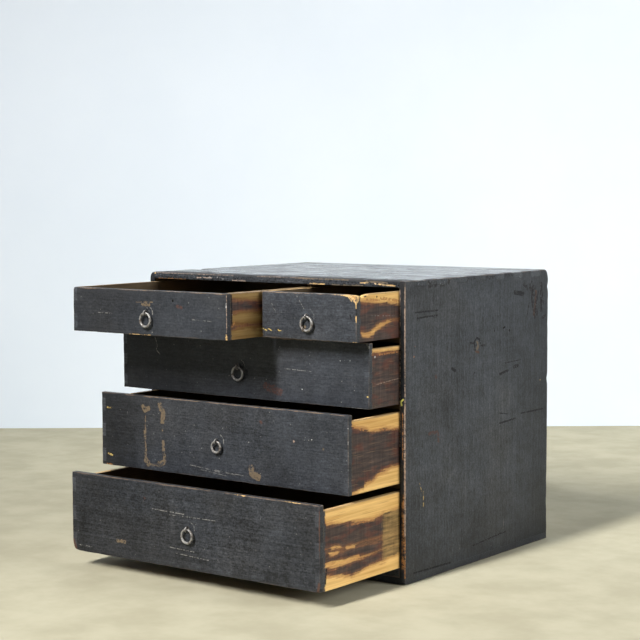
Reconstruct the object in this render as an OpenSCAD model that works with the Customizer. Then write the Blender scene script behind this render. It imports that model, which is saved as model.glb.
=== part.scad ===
// Small lacquered chest of five drawers, drawn as it stands with every drawer part open.
// The case stands on its bottom board. X runs along the front, the front faces -Y, Z is up,
// and the origin is the middle of the case's underside.

/* [Case] */
// Width over the two side boards
case_w = 403; // [340:1:480]
// Depth from the front edges to the back of the back boards
case_d = 336; // [290:1:400]
// Height from the floor to the top of the top board
case_h = 360; // [324:1:420]
// Thickness of each side board
side_t = 8; // [6.5:0.5:12]
// Thickness of the top board
top_t = 8; // [6:0.5:11]
// Thickness of the bottom board, which lies under the side boards
bottom_t = 8.5; // [6:0.5:12]
// Thickness of the back boards
back_t = 6; // [4:0.5:9]
// Height of each of the two lower back boards
back_board_h = 114.5; // [80:0.5:130]
// Height of the step where one back board laps over the next
back_lap = 4; // [2:0.5:8]
// Width of the step in each side board that the back boards lie in
back_rabbet_w = 4; // [3:0.5:5]
// Radius worn onto the outer edges of the case
case_arris_r = 1.2; // [0.4:0.1:2]

/* [Corner joint of sides and top] */
// Number of fingers and gaps along each corner, odd so that the side board has both ends
top_finger_count = 15; // [9:2:21]

/* [Shelves and rails] */
// Thickness of the three shelves that the drawers run on
shelf_t = 7; // [5:0.5:9]
// Thickness of the upright between the two small drawers
upright_t = 6; // [4:0.5:9]
// Distance of the upright's middle from the middle of the case
upright_x = 55.5; // [20:0.5:90]
// Depth that shelves and upright are housed into their neighbours
housing_depth = 3; // [2:0.5:4]
// Height of the rails and runners under the bottom drawer
rail_h = 11.5; // [8:0.5:16]
// Width of the front and back rails
rail_w = 24; // [14:1:40]
// Width of the two runners under the bottom drawer
runner_w = 22; // [12:1:40]

/* [Heights of the drawer bays] */
// Clear height of the bottom drawer's bay
bay_5_h = 93.6; // [80:0.1:100]
// Clear height of the fourth drawer's bay
bay_4_h = 87.3; // [70:0.1:94]
// Clear height of the third drawer's bay
bay_3_h = 71.5; // [55:0.1:78]

/* [Drawers] */
// Thickness of the drawer fronts
front_t = 7; // [6:0.5:10]
// Thickness of the drawer sides
drawer_side_t = 6.5; // [5:0.5:9]
// Thickness of the drawer backs
drawer_back_t = 6; // [5:0.5:9]
// Thickness of the drawer bottoms, which are pegged on from below
drawer_bottom_t = 4.5; // [3:0.5:6]
// Depth of the step behind a front's lower edge that holds the bottom's tongue
front_rabbet_d = 3; // [2:0.5:4]
// How far that tongue stops short of each drawer side
tongue_inset = 3; // [1:0.5:8]
// Depth of the housing in a front for the side next to the upright
front_housing_d = 3; // [2:0.5:4]
// How much lower a drawer back is than the drawer's sides
back_drop = 5; // [2:0.5:9]
// Number of fingers and gaps at a deep drawer's corner
deep_finger_count = 5; // [3:2:7]
// Number of fingers and gaps at a small drawer's corner
small_finger_count = 3; // [3:2:5]
// Radius worn onto the front edges of the drawer fronts
front_arris_r = 1; // [0.3:0.1:1.8]

/* [Clearances] */
// Gap under a drawer on its shelf
run_gap = 0.3; // [0.2:0.1:0.8]
// Gap at each side of a drawer
side_gap = 0.5; // [0.3:0.1:1.5]
// Gap over a deep drawer's sides
rise_gap = 2.2; // [0.5:0.1:4]
// Gap between one drawer front and the front above it
front_gap = 2.2; // [0.6:0.1:4]
// Gap between the small drawers and the top board
top_gap = 4; // [1:0.1:6]
// Gap between the fronts of the two small drawers
small_front_gap = 0.9; // [0.6:0.1:2]
// Gap behind a closed front to the shelf or upright that stops it
stop_gap = 0.3; // [0.2:0.1:1]
// Gap behind a closed drawer to the back boards
back_gap = 4; // [1:0.5:12]

/* [How far the drawers stand open] */
// Opening of the wide small drawer, top left
open_1 = 148; // [0:0.5:210]
// Opening of the narrow small drawer, top right
open_2 = 85; // [0:0.5:210]
// Opening of the third drawer
open_3 = 60.5; // [0:0.5:210]
// Opening of the fourth drawer
open_4 = 101; // [0:0.5:210]
// Opening of the bottom drawer
open_5 = 155; // [0:0.5:210]

/* [Ring pulls] */
// Outer diameter of the small drawers' and upper rings
ring_od = 19.5; // [17:0.5:26]
// Outer diameter of the fourth drawer's ring, a smaller one
small_ring_od = 16.5; // [15:0.5:24]
// Thickness of the ring's iron
ring_wire = 3.2; // [2:0.1:3.4]
// Thickness of the split pin's iron
pin_wire = 1.8; // [1.4:0.1:2.4]
// Thickness of the doubled pin where it goes through the front
shank_d = 2.7; // [2.2:0.1:3.4]
// Thickness of the pin's legs at their tips
pin_tip_d = 0.6; // [0.4:0.1:1]
// Diameter of the hole in the split pin's eye
eye_hole = 4; // [3.8:0.1:6]
// Gap between a ring and the foot of the eye it hangs in
hang_gap = 0.3; // [0.1:0.1:0.5]
// Length of each split pin leg bent over behind the front
leg_len = 10; // [6:0.5:16]

/* [Wooden pegs] */
// Diameter of the pegs that hold the case's bottom and back boards
case_peg_d = 2.2; // [1.6:0.1:3]
// Depth of a case peg in the board that it holds to
case_peg_bite = 9; // [5:0.5:14]
// Least wood left over the end of a peg in a rail
rail_peg_cover = 2; // [1:0.5:5]
// Diameter of the pegs that hold a drawer's bottom
drawer_peg_d = 1.8; // [1.4:0.1:2.4]
// Depth of a drawer peg in the board that it holds to
drawer_peg_bite = 8; // [5:0.5:14]

/* [Hidden] */
$fn = 64;
drawers = [1, 2, 3, 4, 5];
lacquer = [0.20, 0.20, 0.21];
cedar = [0.80, 0.62, 0.38];
cedar_dark = [0.58, 0.43, 0.27];
iron = [0.16, 0.14, 0.13];
peg_wood = [0.88, 0.76, 0.54];

// Places of the case's faces
half_w = case_w / 2;
half_in = half_w - side_t;
front_y = -case_d / 2;
back_y = case_d / 2;
back_face_y = back_y - back_t;
shelf_front_y = front_y + front_t + stop_gap;
ceiling_z = case_h - top_t;
floor_z = bottom_t + rail_h;
lower_shelf_z = floor_z + bay_5_h;
middle_shelf_z = lower_shelf_z + shelf_t + bay_4_h;
upper_shelf_z = middle_shelf_z + shelf_t + bay_3_h;

// Bay of each drawer: the surface it runs on and the underside above it
function bay_floor(n) =
    n == 5 ? floor_z :
    n == 4 ? lower_shelf_z + shelf_t :
    n == 3 ? middle_shelf_z + shelf_t : upper_shelf_z + shelf_t;
function bay_ceiling(n) =
    n == 5 ? lower_shelf_z :
    n == 4 ? middle_shelf_z :
    n == 3 ? upper_shelf_z : ceiling_z;
function is_small(n) = n < 3;
function opening(n) = [open_1, open_2, open_3, open_4, open_5][n - 1];

// Box of each drawer: sides, back and bottom
function box_left(n) = n == 2 ? upright_x + upright_t / 2 + side_gap : -half_in + side_gap;
function box_right(n) = n == 1 ? upright_x - upright_t / 2 - side_gap : half_in - side_gap;
function box_low(n) = bay_floor(n) + run_gap;
function box_high(n) = bay_ceiling(n) - (is_small(n) ? top_gap : rise_gap);
function wall_low(n) = box_low(n) + drawer_bottom_t;
drawer_len = back_face_y - back_gap - front_y;

// Front of each drawer, which hides the shelf above it or half of the upright beside it
function face_left(n) = n == 2 ? upright_x + small_front_gap / 2 : box_left(n);
function face_right(n) = n == 1 ? upright_x - small_front_gap / 2 : box_right(n);
function face_high(n) =
    is_small(n) ? box_high(n) : bay_ceiling(n) + shelf_t + run_gap - front_gap;
function face_mid_x(n) = (face_left(n) + face_right(n)) / 2;
function face_mid_z(n) = (box_low(n) + face_high(n)) / 2;

// Ring pulls: the eye stands against the front and the ring hangs low in its hole
eye_mid_r = (eye_hole + pin_wire) / 2;
eye_reach = eye_mid_r + pin_wire / 2;
ring_drop = (eye_hole - ring_wire) / 2 - hang_gap;
function ring_outer(n) = n == 4 ? small_ring_od : ring_od;
function ring_mid_r(n) = (ring_outer(n) - ring_wire) / 2;

// A box between two opposite corners
module block(low, high) {
    translate(low) cube(high - low);
}

// A rectangle with the two corners at its high end rounded, drawn from a low to a high corner
module worn_rectangle(low, high, r) {
    translate(low) square([high[0] - low[0], high[1] - low[1] - r]);
    translate([low[0] + r, low[1]]) square([high[0] - low[0] - 2 * r, high[1] - low[1]]);
    for (x = [low[0] + r, high[0] - r]) translate([x, high[1] - r]) circle(r);
}

// The outside of the case with its corners and upper edges worn round
module case_outline() {
    intersection() {
        translate([0, back_y, 0]) rotate([90, 0, 0]) linear_extrude(case_d)
            worn_rectangle([-half_w, 0], [half_w, case_h], case_arris_r);
        translate([-half_w, 0, 0]) rotate([90, 0, 90]) linear_extrude(case_w)
            worn_rectangle([front_y, 0], [back_y, case_h], case_arris_r);
        linear_extrude(case_h) union() {
            rotate(180) worn_rectangle([-half_w, 0], [half_w, -front_y], case_arris_r);
            worn_rectangle([-half_w, 0], [half_w, back_y], case_arris_r);
        }
    }
}

// Fingers of the side boards at the two upper corners, taking the even places
top_finger_w = case_d / top_finger_count;
module top_fingers(places) {
    for (k = places) block(
        [half_in, front_y + k * top_finger_w, ceiling_z],
        [half_w, front_y + (k + 1) * top_finger_w, case_h]);
}

// The three shelves as solids, also used to cut their housings
module shelf(z) {
    block([-half_in - housing_depth, shelf_front_y, z],
          [half_in + housing_depth, back_face_y, z + shelf_t]);
}
module upright_solid() {
    block([upright_x - upright_t / 2, shelf_front_y, upper_shelf_z + shelf_t - housing_depth],
          [upright_x + upright_t / 2, back_face_y, ceiling_z + housing_depth]);
}

// Peg places under the bottom board: into the side boards and into both rails
side_peg_count = 6;
rail_peg_count = 5;
module bottom_peg_set() {
    for (s = [-1, 1], k = [0 : side_peg_count - 1]) translate([
        s * (half_w - side_t / 2),
        front_y + case_d * (k + 0.5) / side_peg_count, 0])
        cylinder(d = case_peg_d, h = bottom_t + case_peg_bite);
    for (y = [front_y + rail_w / 2, back_face_y - rail_w / 2], k = [0 : rail_peg_count - 1])
        translate([-half_in + 2 * half_in * (k + 0.5) / rail_peg_count, y, 0])
            cylinder(d = case_peg_d, h = bottom_t + min(case_peg_bite, rail_h - rail_peg_cover));
}

// Peg places in the back boards: into the side boards and into the shelves' back edges
back_side_pegs = 3;
back_shelf_pegs = 4;
function back_joint_z(k) = bottom_t + k * back_board_h;
function back_top_z(k) = k == 2 ? ceiling_z : back_joint_z(k + 1);
module back_peg_set() {
    for (s = [-1, 1], k = [0 : 2], m = [0 : back_side_pegs - 1]) translate([
        s * (half_in + back_rabbet_w / 2), back_y,
        back_joint_z(k) + (back_top_z(k) - back_joint_z(k)) * (m + 0.5) / back_side_pegs])
        rotate([90, 0, 0]) cylinder(d = case_peg_d, h = back_t + case_peg_bite);
    for (z = [lower_shelf_z, middle_shelf_z, upper_shelf_z], k = [0 : back_shelf_pegs - 1])
        translate([-half_in + 2 * half_in * (k + 0.5) / back_shelf_pegs, back_y, z + shelf_t / 2])
            rotate([90, 0, 0]) cylinder(d = case_peg_d, h = back_t + case_peg_bite);
}

// Bottom board, under everything
module bottom_board() {
    color(lacquer) difference() {
        intersection() {
            block([-half_w, front_y, 0], [half_w, back_y, bottom_t]);
            case_outline();
        }
        bottom_peg_set();
    }
}

// Right side board: fingers on top, housings for the shelves, a step for the back boards
module side_solid() {
    difference() {
        intersection() {
            union() {
                block([half_in, front_y, bottom_t], [half_w, back_y, ceiling_z]);
                top_fingers([0 : 2 : top_finger_count - 1]);
            }
            case_outline();
        }
        for (z = [lower_shelf_z, middle_shelf_z, upper_shelf_z]) shelf(z);
        block([0, back_face_y, 0], [half_in + back_rabbet_w, back_y + back_t, ceiling_z]);
        bottom_peg_set();
        back_peg_set();
    }
}
module right_side() {
    color(lacquer) side_solid();
}
module left_side() {
    color(lacquer) mirror([1, 0, 0]) side_solid();
}

// Top board: its ends fill the odd places of the finger joints, and it houses the upright
module top_board() {
    color(lacquer) difference() {
        intersection() {
            union() {
                block([-half_in, front_y, ceiling_z], [half_in, back_y, case_h]);
                for (s = [0, 1]) mirror([s, 0, 0]) top_fingers([1 : 2 : top_finger_count - 2]);
            }
            case_outline();
        }
        upright_solid();
    }
}

// Frame on the bottom board that lifts the bottom drawer: two rails and two runners
module front_rail() {
    color(lacquer) difference() {
        block([-half_in, front_y, bottom_t], [half_in, front_y + rail_w, floor_z]);
        bottom_peg_set();
    }
}
module back_rail() {
    color(cedar_dark) difference() {
        block([-half_in, back_face_y - rail_w, bottom_t], [half_in, back_face_y, floor_z]);
        bottom_peg_set();
    }
}
module runner_solid() {
    block([half_in - runner_w, front_y + rail_w, bottom_t], [half_in, back_face_y - rail_w, floor_z]);
}
module right_runner() {
    color(cedar_dark) runner_solid();
}
module left_runner() {
    color(cedar_dark) mirror([1, 0, 0]) runner_solid();
}

// Shelves and upright
module shelf_board(z) {
    color(cedar_dark) difference() {
        shelf(z);
        back_peg_set();
        upright_solid();
    }
}
module lower_shelf() {
    shelf_board(lower_shelf_z);
}
module middle_shelf() {
    shelf_board(middle_shelf_z);
}
module upper_shelf() {
    shelf_board(upper_shelf_z);
}
module upright() {
    color(cedar_dark) upright_solid();
}

// Back boards, each lapped over the one below by half its thickness
module back_board(k) {
    edge = half_in + back_rabbet_w;
    half_t = back_face_y + back_t / 2;
    low_step = k == 0 ? 0 : back_lap;
    high_step = k == 2 ? 0 : back_lap;
    color(cedar_dark) difference() {
        union() {
            block([-edge, back_face_y, back_joint_z(k)], [edge, half_t, back_top_z(k)]);
            block([-edge, half_t, back_joint_z(k) + low_step], [edge, back_y, back_top_z(k) + high_step]);
        }
        back_peg_set();
    }
}
module back_board_lower() {
    back_board(0);
}
module back_board_middle() {
    back_board(1);
}
module back_board_upper() {
    back_board(2);
}

// Wooden pegs of the case, driven from below and from behind
module bottom_pegs() {
    color(peg_wood) bottom_peg_set();
}
module back_pegs() {
    color(peg_wood) back_peg_set();
}

// A drawer's own place: y = 0 is the face of its front
module at_drawer(n) {
    translate([0, front_y - opening(n), 0]) children();
}

// The outside of a drawer with the edges of its front worn round
module drawer_outline(n) {
    intersection() {
        translate([0, 0, box_low(n)]) linear_extrude(face_high(n) - box_low(n))
            translate([0, drawer_len]) mirror([0, 1])
                worn_rectangle([face_left(n), 0], [face_right(n), drawer_len], front_arris_r);
        translate([face_left(n), 0, 0]) rotate([90, 0, 90])
            linear_extrude(face_right(n) - face_left(n)) rotate(90)
                worn_rectangle([box_low(n), -drawer_len], [face_high(n), 0], front_arris_r);
    }
}

// Finger places up a drawer corner: the side has the even ones, front and back the odd ones
function finger_count(n) = is_small(n) ? small_finger_count : deep_finger_count;
function finger_h(n) = (box_high(n) - wall_low(n)) / finger_count(n);
module corner_fingers(n, x, y, depth, places) {
    for (k = places) block(
        [x, y, wall_low(n) + k * finger_h(n)],
        [x + drawer_side_t, y + depth, wall_low(n) + (k + 1) * finger_h(n)]);
}
function has_left_fingers(n) = n != 2;
function has_right_fingers(n) = n != 1;

// Pegs under a drawer: into both sides, the front and the back
drawer_side_pegs = 5;
drawer_cross_pegs = 4;
module drawer_peg_set(n) {
    span = box_right(n) - box_left(n);
    translate([0, 0, box_low(n)]) {
        for (x = [box_left(n) + drawer_side_t / 2, box_right(n) - drawer_side_t / 2],
             k = [0 : drawer_side_pegs - 1])
            translate([x, front_t + (drawer_len - front_t - drawer_back_t) * (k + 0.5) / drawer_side_pegs, 0])
                cylinder(d = drawer_peg_d, h = drawer_bottom_t + drawer_peg_bite);
        for (y = [front_t - front_rabbet_d / 2, drawer_len - drawer_back_t / 2],
             k = [0 : drawer_cross_pegs - 1])
            translate([box_left(n) + span * (k + 0.5) / drawer_cross_pegs, y, 0])
                cylinder(d = drawer_peg_d, h = drawer_bottom_t + drawer_peg_bite);
    }
}

// Drawer bottom: under the sides and the back, with a tongue into the front
module bottom_solid(n) {
    block([box_left(n), front_t, box_low(n)], [box_right(n), drawer_len, wall_low(n)]);
    block([box_left(n) + drawer_side_t + tongue_inset, front_t - front_rabbet_d, box_low(n)],
          [box_right(n) - drawer_side_t - tongue_inset, front_t, wall_low(n)]);
}
module drawer_bottom(n) {
    color(cedar) at_drawer(n) difference() {
        bottom_solid(n);
        drawer_peg_set(n);
    }
}

// Drawer side at x, with fingers through the front or housed in it beside the upright
module side_of_drawer(n, x, fingers) {
    places = [0 : 2 : finger_count(n) - 1];
    start = fingers ? front_t : front_t - front_housing_d;
    color(cedar) at_drawer(n) difference() {
        intersection() {
            union() {
                block([x, start, wall_low(n)], [x + drawer_side_t, drawer_len - drawer_back_t, box_high(n)]);
                corner_fingers(n, x, drawer_len - drawer_back_t, drawer_back_t, places);
                if (fingers) corner_fingers(n, x, 0, front_t, places);
            }
            drawer_outline(n);
        }
        drawer_peg_set(n);
    }
}
module drawer_left_side(n) {
    side_of_drawer(n, box_left(n), has_left_fingers(n));
}
module drawer_right_side(n) {
    side_of_drawer(n, box_right(n) - drawer_side_t, has_right_fingers(n));
}

// Drawer back: its ends fill the odd finger places, and it stands lower than the sides
module drawer_back(n) {
    y = drawer_len - drawer_back_t;
    places = [1 : 2 : finger_count(n) - 2];
    color(cedar) at_drawer(n) difference() {
        union() {
            block([box_left(n) + drawer_side_t, y, wall_low(n)],
                  [box_right(n) - drawer_side_t, drawer_len, box_high(n) - back_drop]);
            corner_fingers(n, box_left(n), y, drawer_back_t, places);
            corner_fingers(n, box_right(n) - drawer_side_t, y, drawer_back_t, places);
        }
        drawer_peg_set(n);
    }
}

// Drawer front: fingered or housed at its ends, stepped for the bottom, drilled for the pin
module drawer_front(n) {
    places = [0 : 2 : finger_count(n) - 1];
    color(lacquer) at_drawer(n) difference() {
        intersection() {
            block([face_left(n), 0, box_low(n)], [face_right(n), front_t, face_high(n)]);
            drawer_outline(n);
        }
        bottom_solid(n);
        drawer_peg_set(n);
        if (has_left_fingers(n)) corner_fingers(n, box_left(n), 0, front_t, places);
        else block([box_left(n), front_t - front_housing_d, wall_low(n)],
                   [box_left(n) + drawer_side_t, front_t, box_high(n)]);
        if (has_right_fingers(n)) corner_fingers(n, box_right(n) - drawer_side_t, 0, front_t, places);
        else block([box_right(n) - drawer_side_t, front_t - front_housing_d, wall_low(n)],
                   [box_right(n), front_t, box_high(n)]);
        translate([face_mid_x(n), 0, face_mid_z(n)]) pin_shank();
    }
}

// Split pin: one iron wire bent to an eye, both legs through the front, bent out behind it
module pin_shank() {
    translate([0, -pin_wire / 2, 0]) rotate([-90, 0, 0])
        cylinder(d = shank_d, h = front_t + pin_wire);
}
module pin_leg() {
    straight = leg_len - pin_wire;
    cylinder(d = pin_wire, h = straight);
    translate([0, 0, straight]) cylinder(d1 = pin_wire, d2 = pin_tip_d, h = pin_wire);
}
module drawer_eye(n) {
    color(iron) at_drawer(n) translate([face_mid_x(n), 0, face_mid_z(n)]) {
        translate([0, -eye_reach, 0]) rotate([0, 90, 0]) rotate_extrude()
            translate([eye_mid_r, 0]) circle(d = pin_wire);
        pin_shank();
        for (a = [-90, 90]) translate([0, front_t + pin_wire / 2, 0]) rotate([0, a, 0]) pin_leg();
    }
}

// Iron ring, hanging in the eye
module drawer_ring(n) {
    color(iron) at_drawer(n)
        translate([face_mid_x(n), -eye_reach, face_mid_z(n) - ring_drop - ring_mid_r(n)])
            rotate([90, 0, 0]) rotate_extrude() translate([ring_mid_r(n), 0]) circle(d = ring_wire);
}
module drawer_pegs(n) {
    color(peg_wood) at_drawer(n) drawer_peg_set(n);
}

bottom_board();
left_side();
right_side();
top_board();
front_rail();
back_rail();
left_runner();
right_runner();
lower_shelf();
middle_shelf();
upper_shelf();
upright();
back_board_lower();
back_board_middle();
back_board_upper();
bottom_pegs();
back_pegs();
for (n = drawers) {
    drawer_front(n);
    drawer_left_side(n);
    drawer_right_side(n);
    drawer_back(n);
    drawer_bottom(n);
    drawer_pegs(n);
    drawer_eye(n);
    drawer_ring(n);
}
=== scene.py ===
import math

import bpy
import numpy as np
from mathutils import Matrix, Vector


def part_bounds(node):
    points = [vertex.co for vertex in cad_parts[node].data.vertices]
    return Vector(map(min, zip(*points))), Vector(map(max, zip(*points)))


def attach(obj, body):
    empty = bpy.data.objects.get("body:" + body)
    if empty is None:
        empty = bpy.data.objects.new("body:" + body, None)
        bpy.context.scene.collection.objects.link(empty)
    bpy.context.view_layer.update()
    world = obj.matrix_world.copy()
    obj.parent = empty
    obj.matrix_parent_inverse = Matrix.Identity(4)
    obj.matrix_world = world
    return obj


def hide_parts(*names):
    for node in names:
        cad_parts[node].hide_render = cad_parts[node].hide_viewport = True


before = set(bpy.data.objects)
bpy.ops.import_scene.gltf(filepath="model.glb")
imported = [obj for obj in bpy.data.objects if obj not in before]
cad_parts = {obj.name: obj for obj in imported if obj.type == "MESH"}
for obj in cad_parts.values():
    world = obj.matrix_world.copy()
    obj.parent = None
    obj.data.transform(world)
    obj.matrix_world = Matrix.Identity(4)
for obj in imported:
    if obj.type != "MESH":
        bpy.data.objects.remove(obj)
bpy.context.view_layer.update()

# A small lacquered chest of five drawers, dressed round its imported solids. Sizes and places are
# in millimetres in the chest's own frame: X runs along the front, the front faces -Y and Z is
# up. They turn to metres where a mesh, a lamp or the camera is made.


# The bottom board: a cedar board under the whole case, lacquered with it once the case was
# pegged together. Its edges are worn round from years of being pushed over floors.
def part_box(node):
    """Lowest and highest corner of one of the part's nodes, in millimetres."""
    low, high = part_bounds(node)
    return np.array(low) * 1000, np.array(high) * 1000


def ripple(points, size, seed, waves=9):
    """An unevenness from about -1 to 1 at each point: waves of about one length, summed."""
    chance = np.random.default_rng(seed)
    ways = chance.normal(size=(waves, 3))
    ways /= np.linalg.norm(ways, axis=1, keepdims=True)
    ways *= 2 * math.pi / size * chance.uniform(0.5, 1.5, (waves, 1))
    heights = np.sin(points @ ways.T + chance.uniform(0, 2 * math.pi, waves))
    return heights.sum(1) / math.sqrt(waves)


def knocked(points, knocks):
    """How much more the edges are rounded near each knock: its place, reach and depth."""
    more = np.zeros(len(points))
    for place, reach, depth in knocks:
        more += depth * np.exp(-(((points - place) / reach) ** 2).sum(1))
    return more


all_sides = ("-x", "+x", "-y", "+y", "-z", "+z")
skin = 2.5


def wear(points, low, high, sides, radius, sunk=0.0):
    """Rounds the edges between some sides of a box, and sinks the sides' skin a little."""
    depth = np.full(points.shape, np.inf)
    inward = np.zeros(points.shape)
    for side in sides:
        axis = "xyz".index(side[1])
        if side[0] == "-":
            to_side, way = points[:, axis] - low[axis], 1
        else:
            to_side, way = high[axis] - points[:, axis], -1
        nearer = to_side < depth[:, axis]
        depth[nearer, axis] = to_side[nearer]
        inward[nearer, axis] = way
    bite = np.clip(np.reshape(radius, (-1, 1)) - depth, 0, None)
    length = np.linalg.norm(bite, axis=1)
    round_off = np.divide(bite.max(1), length, out=np.ones_like(length), where=length > 0)
    near = np.clip(1 - depth / skin, 0, 1)
    return points + inward * (bite * (1 - round_off[:, None]) + near * np.reshape(sunk, (-1, 1)))


edge_cuts, least_apart = (0.4, 0.9, 1.5, 2.3, 3.4), 0.25


def grid_lines(marks, step):
    """Where a board's grid is cut along one axis: at its marks, once more close behind the
    first of them, and between them at most a step apart."""
    lines = sorted({round(float(m), 3) for m in marks})
    for line in [lines[0] + cut for cut in edge_cuts]:
        if line < lines[-1] and min(abs(line - other) for other in lines) > least_apart:
            lines = sorted([*lines, line])
            break
    filled = []
    for a, b in zip(lines, lines[1:]):
        filled += list(np.linspace(a, b, max(1, math.ceil((b - a) / step)) + 1)[:-1])
    return np.array([*filled, lines[-1]])


def grid_mesh(name, solids, cuts, shape, step):
    """A board as a closed mesh of small faces: boxes joined, boxes cut out, then shaped."""
    axes = [
        grid_lines([m for box in (*solids, *cuts) for m in (box[0][a], box[1][a])
                    if min(s[0][a] for s in solids) <= m <= max(s[1][a] for s in solids)], step)
        for a in range(3)
    ]
    middles = np.meshgrid(*[(line[1:] + line[:-1]) / 2 for line in axes], indexing="ij")

    def inside(box):
        return np.logical_and.reduce(
            [(middles[a] > box[0][a]) & (middles[a] < box[1][a]) for a in range(3)])

    wood = np.logical_or.reduce([inside(box) for box in solids])
    for box in cuts:
        wood &= ~inside(box)
    counts = [len(line) for line in axes]
    corners = {0: ((0, 0, 0), (0, 1, 0), (0, 1, 1), (0, 0, 1)),
               1: ((0, 0, 0), (0, 0, 1), (1, 0, 1), (1, 0, 0)),
               2: ((0, 0, 0), (1, 0, 0), (1, 1, 0), (0, 1, 0))}
    quads = []
    for axis in range(3):
        padded = np.pad(wood, [(1, 1) if a == axis else (0, 0) for a in range(3)]).astype(int)
        change = np.diff(padded, axis=axis)
        for sign, order in ((-1, (0, 1, 2, 3)), (1, (3, 2, 1, 0))):
            found = np.argwhere(change == sign)
            quads.append(np.stack([np.ravel_multi_index((found + corners[axis][c]).T, counts)
                                   for c in order], axis=1))
    used, quads = np.unique(np.concatenate(quads), return_inverse=True)
    index = np.unravel_index(used, counts)
    points = shape(np.stack([axes[a][index[a]] for a in range(3)], axis=1))
    mesh = bpy.data.meshes.new(name)
    mesh.from_pydata((points / 1000).tolist(), [], quads.reshape(-1, 4).tolist())
    mesh.shade_smooth()
    return mesh


bevel_w, bevel_from, flatness = 0.0001, math.radians(48), 60


def board(node, body, material, shape, solids=None, cuts=(), step=6.0):
    """The dressed piece that stands for one wooden node: its mesh, eased edges and finish."""
    mesh = grid_mesh(f"{node}_wood", solids or [part_box(node)], cuts, shape, step)
    piece = bpy.data.objects.new(f"{node}_wood", mesh)
    bpy.context.scene.collection.objects.link(piece)
    mesh.materials.append(material)
    eased = piece.modifiers.new("eased edges", "BEVEL")
    eased.width, eased.segments = bevel_w, 2
    eased.limit_method, eased.angle_limit = "ANGLE", bevel_from
    flat = piece.modifiers.new("flat faces", "WEIGHTED_NORMAL")
    flat.weight = flatness
    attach(piece, body)
    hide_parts(node)
    return piece


class Field:
    """A value, colour or vector in one paint's nodes, used with Python's own signs."""

    def __init__(self, paint, socket):
        self.paint, self.socket = paint, socket

    def maths(self, operation, *values):
        return self.paint.node("ShaderNodeMath", {"operation": operation},
                               dict(enumerate(values)))

    def __add__(self, other):
        return self.maths("ADD", self, other)

    def __sub__(self, other):
        return self.maths("SUBTRACT", self, other)

    def __rsub__(self, other):
        return self.maths("SUBTRACT", other, self)

    def __mul__(self, other):
        return self.maths("MULTIPLY", self, other)

    def __lt__(self, other):
        return self.maths("LESS_THAN", self, other)

    def __gt__(self, other):
        return self.maths("GREATER_THAN", self, other)

    def __and__(self, other):
        return self.maths("MINIMUM", self, other)

    def __or__(self, other):
        return self.maths("MAXIMUM", self, other)

    def __abs__(self):
        return self.maths("ABSOLUTE", self)

    __radd__, __rmul__ = __add__, __mul__

    def rise(self, low, high):
        """0 below low, 1 above high and a smooth rise between them; falls if high is lower."""
        return self.paint.node("ShaderNodeMapRange", {"interpolation_type": "SMOOTHSTEP"},
                               {0: self, 1: low, 2: high})


class Nodes:
    """The nodes of one material, or of the world."""

    def __init__(self, tree):
        self.tree = tree
        self.tree.nodes.clear()

    def node(self, kind, settings, sockets, out=0):
        """Adds a node: its settings first, then the values or links of its sockets."""
        node = self.tree.nodes.new(kind)
        for name, value in settings.items():
            if name == "stops":
                ramp = node.color_ramp
                ramp.elements.remove(ramp.elements[-1])
                ramp.elements[0].position = value[0][0]
                for position, _ in value[1:]:
                    ramp.elements.new(position)
                for element, (_, level) in zip(ramp.elements, value):
                    element.color = (level, level, level, 1.0)
            else:
                setattr(node, name, value)
        for name, value in sockets.items():
            if isinstance(value, Field):
                self.tree.links.new(value.socket, node.inputs[name])
            elif node.inputs[name].type == "RGBA":
                node.inputs[name].default_value = (*value, 1.0)
            else:
                node.inputs[name].default_value = value
        if isinstance(out, tuple):
            return [Field(self, node.outputs[name]) for name in out]
        return Field(self, node.outputs[out]) if node.outputs else node

    def vector(self, operation, first, second, out="Vector"):
        """Maths on two vectors, or on a vector and how much it is scaled."""
        with_what = "Scale" if operation == "SCALE" else 1
        return self.node("ShaderNodeVectorMath", {"operation": operation},
                         {0: first, with_what: second}, out)


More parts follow.
